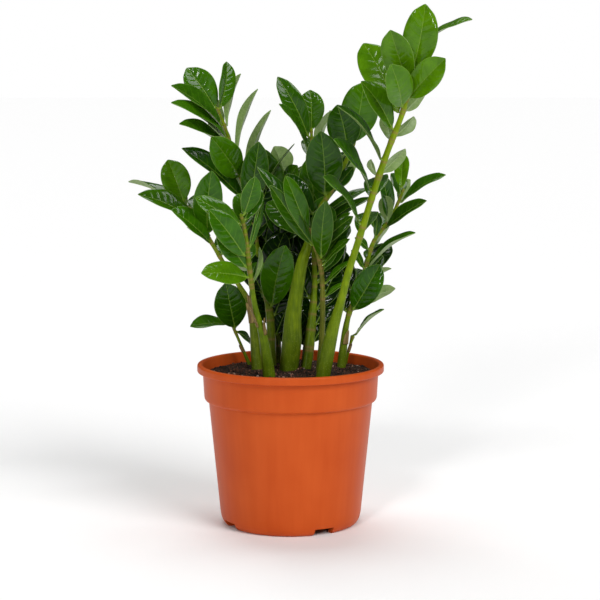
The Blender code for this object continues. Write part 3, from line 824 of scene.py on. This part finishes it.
# Leaflets that face the back and fill out the plant there, in the same way.
BACK_LEAFLETS = {
    "b": ((305, (62, 50, 336), "BBU", 24),),
    "c": ((315, (36, 82, 344), "BBU", 24),
          (290, (0, 84, 318), "BBU", 24), (240, (46, 76, 262), "BBU", 22)),
    "d": ((360, (-84, 78, 388), "BBU", 22), (338, (-78, 88, 362), "BBU", 22),
          (300, (-62, 92, 330), "BBU", 24), (226, (-52, 84, 252), "BBU", 22),
          (200, (-40, 84, 222), "BBU", 20)),
    "e": ((284, (-118, 94, 304), "BBU", 20), (266, (-104, 94, 280), "BBU", 20)),
    "f": ((262, (-62, -26, 284), "BBU", 20), (236, (-58, -16, 254), "BBU", 20)),
    "j": ((290, (112, 72, 310), "BBU", 16), (250, (92, 70, 266), "BBU", 16),
          (224, (80, 72, 240), "BBU", 16)),
    "m": ((312, (-16, 102, 340), "BBU", 24), (292, (12, 104, 318), "BBU", 24),
          (268, (-22, 104, 292), "BBU", 24), (244, (10, 104, 264), "BBU", 24),
          (222, (-24, 104, 242), "BBU", 22), (200, (10, 100, 218), "BBU", 20),
          (178, (-22, 96, 194), "BBU", 18)),
}
# Leaflets in the middle that lean back and so catch the light, in the same way.
BRIGHT_LEAFLETS = {
    "c": ((276, (10, 64, 322), "FFU", 24),),
    "h": ((254, (35, 14, 290), "FFU", 22), (240, (54, 10, 272), "FFUL", 18),
          (232, (39, 6, 261), "FFU", 16)),
    "f": ((280, (-28, -34, 310), "FFU", 18), (276, (-45, -38, 304), "FFUR", 18)),
    "b": ((262, (-22, 30, 292), "FFU", 24), (280, (-4, 24, 318), "FFU", 20)),
}
# Painted shade: the tone that darkens the leaflets low in the middle and at the back.
SHADE_TONE = -0.5            # darker than any other leaflet
# How young a leaflet is, from 0 to 1: young ones are lighter and yellower.
YOUNG = {"leaf_a_1": 0.6, "leaf_a_2": 0.9, "leaf_a_3": 0.8, "leaf_a_4": 0.8, "leaf_a_5": 0.7,
         "leaf_a_6": 1.0, "leaf_a_7": 0.35, "leaf_b_1": 0.35, "leaf_e_1": 0.6, "leaf_f_1": 0.7,
         "leaf_j_4": 1.0}
# How much more than usual a leaflet folds up along its midrib.
FOLDED = {"leaf_a_7": 0.15, "leaf_a_8": 0.2, "leaf_d_2": 0.15, "leaf_d_3": 0.15,
          "leaf_d_4": 0.15, "leaf_d_5": 0.15, "leaf_d_6": 0.4, "leaf_d_7": 0.4, "leaf_d_8": 0.4,
          "leaf_d_10": 0.4, "leaf_e_2": 0.3, "leaf_e_3": 0.4, "leaf_e_4": 0.4,
          "leaf_j_1": 0.3, "leaf_j_2": 0.35, "leaf_j_3": 0.3, "leaf_l_1": 0.25,
          "leaf_k_1": 0.15}
# Leaflets drawn narrower than their CAD solids, as a share of the width.
NARROWED = {"leaf_h_3": 0.72, "leaf_f_2": 0.82}
DEEP_FOLD = 0.3            # a leaflet folded more than this leans to the front
FOLDED_LEAN = 0.4          # how far it leans


def make_plant(leaf, skin_of_stalk, bract_material):
    """Every stalk with its leaflets and bracts, over the CAD ones."""
    for letter in STEMS:
        stem = read_stem(letter)
        joints = []
        chance = np.random.default_rng(ord(letter))
        for name in sorted(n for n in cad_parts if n.startswith(f"leaf_{letter}_")):
            start, tip, face, width = read_leaf(name, stem)
            row = nearest_on(stem, start)
            root = row[:3] + (start - row[:3]) * ROOT_SHARE
            joints.append(row[:3])
            tone = chance.uniform(0.2, 0.9)
            youth = YOUNG.get(name, chance.uniform(0, 0.25))
            seed = sum(map(ord, name))
            width = width * NARROWED.get(name, 1.0)
            fold = FOLDED.get(name, 0.0)
            if fold > DEEP_FOLD:
                face = face + np.array(FACES["F"]) * FOLDED_LEAN
            points, faces, painted = leaflet(start, tip, face, width, root, (tone, youth), seed,
                                             fold)
            piece = add_mesh(name.replace("leaf", "leaflet"), points, faces, leaf, **painted)
            belongs(piece, "green_leaf", name)
        parts = []
        shade_darkened_rows = SHADE_DARKENED_LEAFLETS.get(letter, ())
        rows = (SMALL_LEAFLETS.get(letter, ()) + BRIGHT_LEAFLETS.get(letter, ())
                + BACK_LEAFLETS.get(letter, ()) + shade_darkened_rows)
        for number, (height, tip, facing, width) in enumerate(rows):
            row = np.array([np.interp(height * MM, stem[:, 2], stem[:, i]) for i in range(4)])
            tip = np.array(tip, float) * MM
            outward = unit((tip - row[:3]) * (1, 1, 0.3))
            start = row[:3] + outward * (row[3] + STALK_GAP * MM)
            root = row[:3] + outward * row[3] * ROOT_SHARE
            joints.append(row[:3])
            face = np.sum([FACES[word] for word in facing], axis=0).astype(float)
            traits = (chance.uniform(0.1, 0.8), chance.uniform(0, 0.3))
            # Painted shade: those low inner leaflets take the darkest tone.
            if number >= len(rows) - len(shade_darkened_rows):
                traits = (SHADE_TONE, 0.0)
            parts.append(leaflet(start, tip, face, width * MM, root, traits,
                                 ord(letter) * 100 + number))
        if parts:
            belongs(add_joined(f"small_leaflets_{letter}", parts, leaf), "green_leaf")
        points, faces, painted = stalk(letter, stem, joints)
        piece = add_mesh(f"stalk_{letter}", points, faces, skin_of_stalk, **painted)
        belongs(piece, "green_stem", "stem_" + letter)
        parts = [(*bract(stem, *row[1:]), {}) for row in BRACTS if row[0] == letter]
        if parts:
            belongs(add_joined(f"bracts_{letter}", parts, bract_material), "green_stem")


# ---- studio ------------------------------------------------------------------------------------
def sun(name, towards, spread, strength):
    """Even light from a wide soft source: the way it travels, its angle across, its strength."""
    data = bpy.data.lights.new(name, "SUN")
    data.angle = math.radians(spread)
    data.energy = strength
    light = bpy.data.objects.new(name, data)
    light.rotation_euler = Vector(towards).to_track_quat("-Z", "Y").to_euler()
    bpy.context.scene.collection.objects.link(light)


def make_studio():
    """White board in a white room, under five soft lights.

    The key comes from the front right, window and softbox from the front left, and the other
    two from overhead and, faintly, from in front below.
    """
    size = 40.0
    floor = add_mesh("studio_board", [(-size, -size, 0), (size, -size, 0), (size, size, 0),
                                      (-size, size, 0)], [(0, 1, 2, 3)], floor_paint())
    world = bpy.data.worlds.new("white_room")
    bpy.context.scene.world = world
    world.use_nodes = True
    tree = world.node_tree
    tree.nodes.clear()
    seen = add(tree, "LightPath").outputs["Is Camera Ray"]
    room = add(tree, "Background", "FFFFFF", 0.1)
    paper = add(tree, "Background", "FFFFFF", 1.0)
    both = add(tree, "MixShader", seen, room, paper)
    tree.links.new(both.outputs[0], tree.nodes.new("ShaderNodeOutputWorld").inputs[0])
    sun("key", (-0.62, 0.75, -0.8), 30, 1.7)
    sun("window", (0.25, 0.72, -0.66), 10, 0.5)
    sun("softbox", (0.3, 0.9, -0.3), 7, 0.5)
    sun("overhead", (0.05, -0.35, -1), 34, 1.5)
    sun("from_below", (0.0, 0.8, 0.5), 60, 0.15)


CAMERA_PLACE = (8.56, -1621, 403)
CAMERA_TILT = 6.97         # degrees below level
CAMERA_LENS = 108


def make_camera():
    """Long lens level with the upper leaves, looking slightly down."""
    data = bpy.data.cameras.new("view")
    data.sensor_width = 36
    data.lens = CAMERA_LENS
    camera = bpy.data.objects.new("view", data)
    camera.location = [place * MM for place in CAMERA_PLACE]
    camera.rotation_euler = (math.radians(90 - CAMERA_TILT), 0, 0)
    bpy.context.scene.collection.objects.link(camera)
    bpy.context.scene.camera = camera
    bpy.context.scene.view_settings.view_transform = "Standard"


make_camera()
make_pot(moulded_pot())
make_soil(damp_compost(), bark_crumbs())
make_plant(leaf_cuticle(), stalk_skin(), papery_bract())
make_studio()
